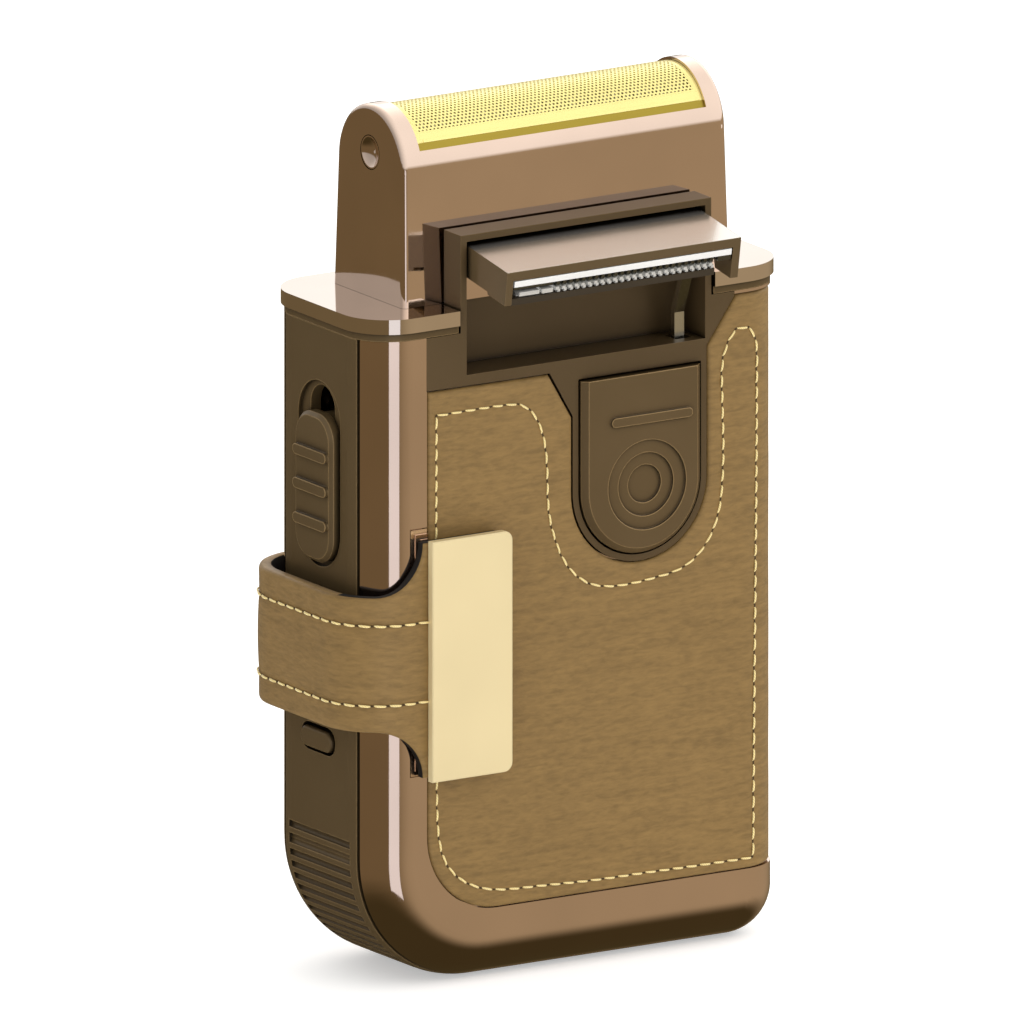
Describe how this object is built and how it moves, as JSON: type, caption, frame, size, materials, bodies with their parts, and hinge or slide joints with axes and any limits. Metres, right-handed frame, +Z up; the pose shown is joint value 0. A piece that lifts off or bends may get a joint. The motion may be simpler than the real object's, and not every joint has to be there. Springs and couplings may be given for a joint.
{
  "type": "pocket foil shaver",
  "caption": "Pocket rechargeable foil shaver with arched foil head, flip-out hair trimmer, thumb key, side power slider and leather jacket closed by a strap with a metal clasp.",
  "frame": {"origin": "centre of the flat underside, on the surface the shaver stands on", "axes": "+Z up to the foil head; rear face with trimmer and thumb key towards -Y; power slider side towards -X"},
  "size_m": [0.0604, 0.033, 0.1026],
  "materials": {
    "matte_shell": "fine satin moulded, warm dark brown",
    "matte_light": "fine satin moulded, brown",
    "plated": "mirror metallised, rose bronze",
    "leather_tan": "fine cross-grain leather, tan",
    "gold_metal": "satin gold plated",
    "foil_gold": "polished perforated foil",
    "steel": "ground steel",
    "black_plastic": "satin",
    "spring_steel": "drawn wire",
    "rubber_dark": "soft matt",
    "board_green": "solder masked board",
    "cell_wrap": "foil wrapped cell",
    "lead_red": "insulated wire",
    "magnet": "nickel plated"
  },
  "bodies": {
    "root": {"battery_cell": "cell_wrap", "battery_leads": "lead_red", "case_screws": "steel", "clasp_keeper": "gold_metal", "deck_plate": "plated", "drive_motor": "steel", "front_shell": "plated", "hair_seal": "rubber_dark", "keeper_magnet": "magnet", "key_hinge_pin": "steel", "key_spring": "spring_steel", "leather_jacket": "leather_tan", "lever_pin": "steel", "main_pcb": "board_green", "mid_frame": "matte_shell", "motor_bracket": "black_plastic", "motor_leads": "lead_red", "motor_screws": "steel", "rear_shell": "plated", "slide_switch": "steel", "strap_anchor": "leather_tan", "tact_switch": "black_plastic", "top_frame": "matte_shell", "trimmer_bezel": "matte_shell", "trimmer_hinge_pin": "steel", "trimmer_spring": "spring_steel", "usb_c_socket": "steel"},
    "head": {"head_frame": "plated", "foil": "foil_gold", "foil_carrier": "black_plastic"},
    "release_left": {"foil_release_left": "plated"},
    "release_right": {"foil_release_right": "plated"},
    "cutter": {"cutter_block": "steel", "drive_bridge": "black_plastic", "cutter_springs": "spring_steel"},
    "motor_rotor": {"motor_shaft": "steel", "eccentric_crank": "black_plastic"},
    "power_slider": {"power_slider": "matte_shell"},
    "side_button": {"side_button": "matte_shell"},
    "thumb_key": {"thumb_key": "matte_shell"},
    "release_lever": {"release_lever": "black_plastic"},
    "trimmer_arm": {"trimmer_arm": "matte_light", "blade_holder": "black_plastic", "trimmer_guard": "steel", "trimmer_comb": "steel", "link_pin": "steel"},
    "trimmer_blade": {"trimmer_blade": "steel"},
    "trimmer_link": {"trimmer_link": "steel"},
    "strap": {"strap_leather": "leather_tan", "clasp_plate": "gold_metal", "clasp_magnet": "magnet"}
  },
  "joints": [
    {"name": "head_lift", "type": "slide", "parent": "root", "child": "head", "axis": [0, 0, 1], "range_m": [0, 0.026]},
    {"name": "release_left_press", "type": "slide", "parent": "head", "child": "release_left", "axis": [1, 0, 0], "range_m": [0, 0.0006], "stiffness_N_per_m": 400},
    {"name": "release_right_press", "type": "slide", "parent": "head", "child": "release_right", "axis": [-1, 0, 0], "range_m": [0, 0.0006], "stiffness_N_per_m": 400},
    {"name": "cutter_stroke", "type": "slide", "parent": "root", "child": "cutter", "axis": [1, 0, 0], "range_m": [-0.00075, 0.00075]},
    {"name": "motor_spin", "type": "hinge", "parent": "root", "child": "motor_rotor", "pos_m": [0.0006, 0.0026, 0.06], "axis": [0, 0, 1], "continuous": true},
    {"name": "power_slide", "type": "slide", "parent": "root", "child": "power_slider", "axis": [0, 0, 1], "range_m": [0, 0.003]},
    {"name": "side_button_press", "type": "slide", "parent": "root", "child": "side_button", "axis": [1, 0, 0], "range_m": [0, 0.0004], "stiffness_N_per_m": 400},
    {"name": "thumb_key_press", "type": "hinge", "parent": "root", "child": "thumb_key", "pos_m": [0.008, -0.0092, 0.0682], "axis": [1, 0, 0], "range_deg": [0, 3], "stiffness_Nm_per_rad": 0.02, "deforming": ["key_spring"]},
    {"name": "release_lever_rock", "type": "hinge", "parent": "root", "child": "release_lever", "pos_m": [0.008, -0.0066, 0.0659], "axis": [1, 0, 0], "range_deg": [0, 4]},
    {"name": "trimmer_flip", "type": "hinge", "parent": "root", "child": "trimmer_arm", "pos_m": [0, -0.0098, 0.08582], "axis": [1, 0, 0], "range_deg": [0, 80.65], "stiffness_Nm_per_rad": 0.001, "springref_deg": -34.38},
    {"name": "trimmer_blade_stroke", "type": "slide", "parent": "trimmer_arm", "child": "trimmer_blade", "axis": [1, 0, 0], "range_m": [-0.0004, 0.0004]},
    {"name": "link_pivot", "type": "hinge", "parent": "trimmer_arm", "child": "trimmer_link", "pos_m": [0.0148, -0.01252, 0.08446], "axis": [1, 0, 0], "range_deg": [-98, 0]},
    {"name": "strap_open", "type": "hinge", "parent": "root", "child": "strap", "pos_m": [-0.023, 0.0125, 0.0395], "axis": [0, 0, 1], "range_deg": [-100, 0]}
  ],
  "couplings": [
    {"joint": "link_pivot", "follows": "trimmer_flip", "ratio": -1.2028},
    {"joint": "release_lever_rock", "follows": "thumb_key_press", "ratio": 1.25}
  ]
}
